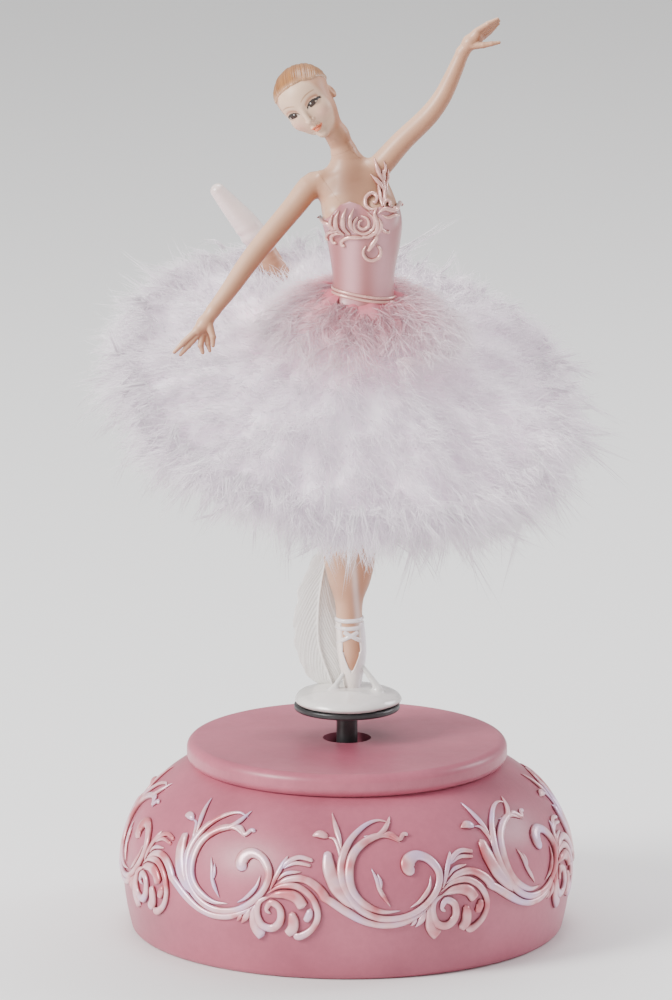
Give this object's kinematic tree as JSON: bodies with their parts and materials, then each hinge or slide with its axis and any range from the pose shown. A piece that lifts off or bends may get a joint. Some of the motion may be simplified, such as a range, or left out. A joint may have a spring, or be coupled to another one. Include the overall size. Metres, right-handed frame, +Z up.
{
  "type": "musical jewellery box with a turning ballerina",
  "caption": "Domed resin musical base with scroll relief and a turning ballerina in a feather tutu, wound by a key below.",
  "frame": {"origin": "centre of the resting face, on the spindle's axis", "axes": "+Z up along the spindle, -Y the way the dancer faces, +X to the viewer's right"},
  "size_m": [0.121, 0.1122, 0.2275],
  "materials": {
    "dusty_rose_resin": "satin",
    "pearl_silver_paint": "satin",
    "cover_board": "matte",
    "plated_steel": "satin",
    "die_cast_zinc": "satin",
    "comb_steel": "polished",
    "brass": "polished",
    "nylon": "satin",
    "black_plastic": "satin",
    "pearl_resin": "satin",
    "skin_resin": "satin",
    "pink_bodice": "satin",
    "rose_gold_trim": "satin",
    "blond_hair": "satin",
    "pink_petals": "matte",
    "marabou_feather": "matte"
  },
  "bodies": {
    "base": {"base_shell": "dusty_rose_resin", "base_scrolls": "pearl_silver_paint", "top_plate": "dusty_rose_resin", "bottom_cover": "cover_board", "cover_screws": "plated_steel", "bedplate": "die_cast_zinc", "bedplate_screws": "plated_steel", "arbor_bush": "brass", "clutch_spring": "plated_steel", "cylinder_bearings": "die_cast_zinc", "bearing_screws": "plated_steel", "comb": "comb_steel", "comb_screws": "plated_steel", "governor_frame": "die_cast_zinc", "governor_screws": "plated_steel"},
    "figure_turntable": {"spring_barrel": "die_cast_zinc", "barrel_cap": "die_cast_zinc", "mainspring": "plated_steel", "turntable": "black_plastic", "plinth": "pearl_resin", "plume_support": "pearl_resin", "standing_shoe": "pearl_resin", "standing_leg": "skin_resin", "raised_leg": "skin_resin", "raised_shoe": "pearl_resin", "torso": "pink_bodice", "bodice_trim": "rose_gold_trim", "head": "skin_resin", "hair": "blond_hair", "left_arm": "skin_resin", "right_arm": "skin_resin", "waist_petals": "pink_petals", "feather_skirt": "marabou_feather"},
    "key": {"winding_arbor": "plated_steel", "winding_key": "brass"},
    "cylinder": {"pinned_cylinder": "brass", "cylinder_shaft": "plated_steel", "cylinder_pinion": "brass", "cylinder_wheel": "brass"},
    "governor_wheel": {"governor_shaft": "plated_steel", "governor_pinion": "brass", "worm_wheel": "nylon"},
    "fly": {"worm_shaft": "plated_steel", "fly": "nylon"}
  },
  "joints": [
    {"name": "figure_spin", "type": "hinge", "parent": "base", "child": "figure_turntable", "pos_m": [0, 0, 0.055], "axis": [0, 0, 1], "continuous": true},
    {"name": "key_wind", "type": "hinge", "parent": "base", "child": "key", "pos_m": [0, 0, 0.01], "axis": [0, 0, 1], "continuous": true},
    {"name": "cylinder_spin", "type": "hinge", "parent": "base", "child": "cylinder", "pos_m": [0.0233, 0, 0.028], "axis": [1, 0, 0], "continuous": true},
    {"name": "governor_spin", "type": "hinge", "parent": "base", "child": "governor_wheel", "pos_m": [0.034, -0.00937, 0.0245], "axis": [1, 0, 0], "continuous": true},
    {"name": "fly_spin", "type": "hinge", "parent": "base", "child": "fly", "pos_m": [0.03525, -0.01517, 0.026], "axis": [0, 0, 1], "continuous": true}
  ],
  "couplings": [
    {"joint": "cylinder_spin", "follows": "figure_spin", "ratio": 3},
    {"joint": "governor_spin", "follows": "figure_spin", "ratio": -9},
    {"joint": "fly_spin", "follows": "figure_spin", "ratio": -162}
  ]
}
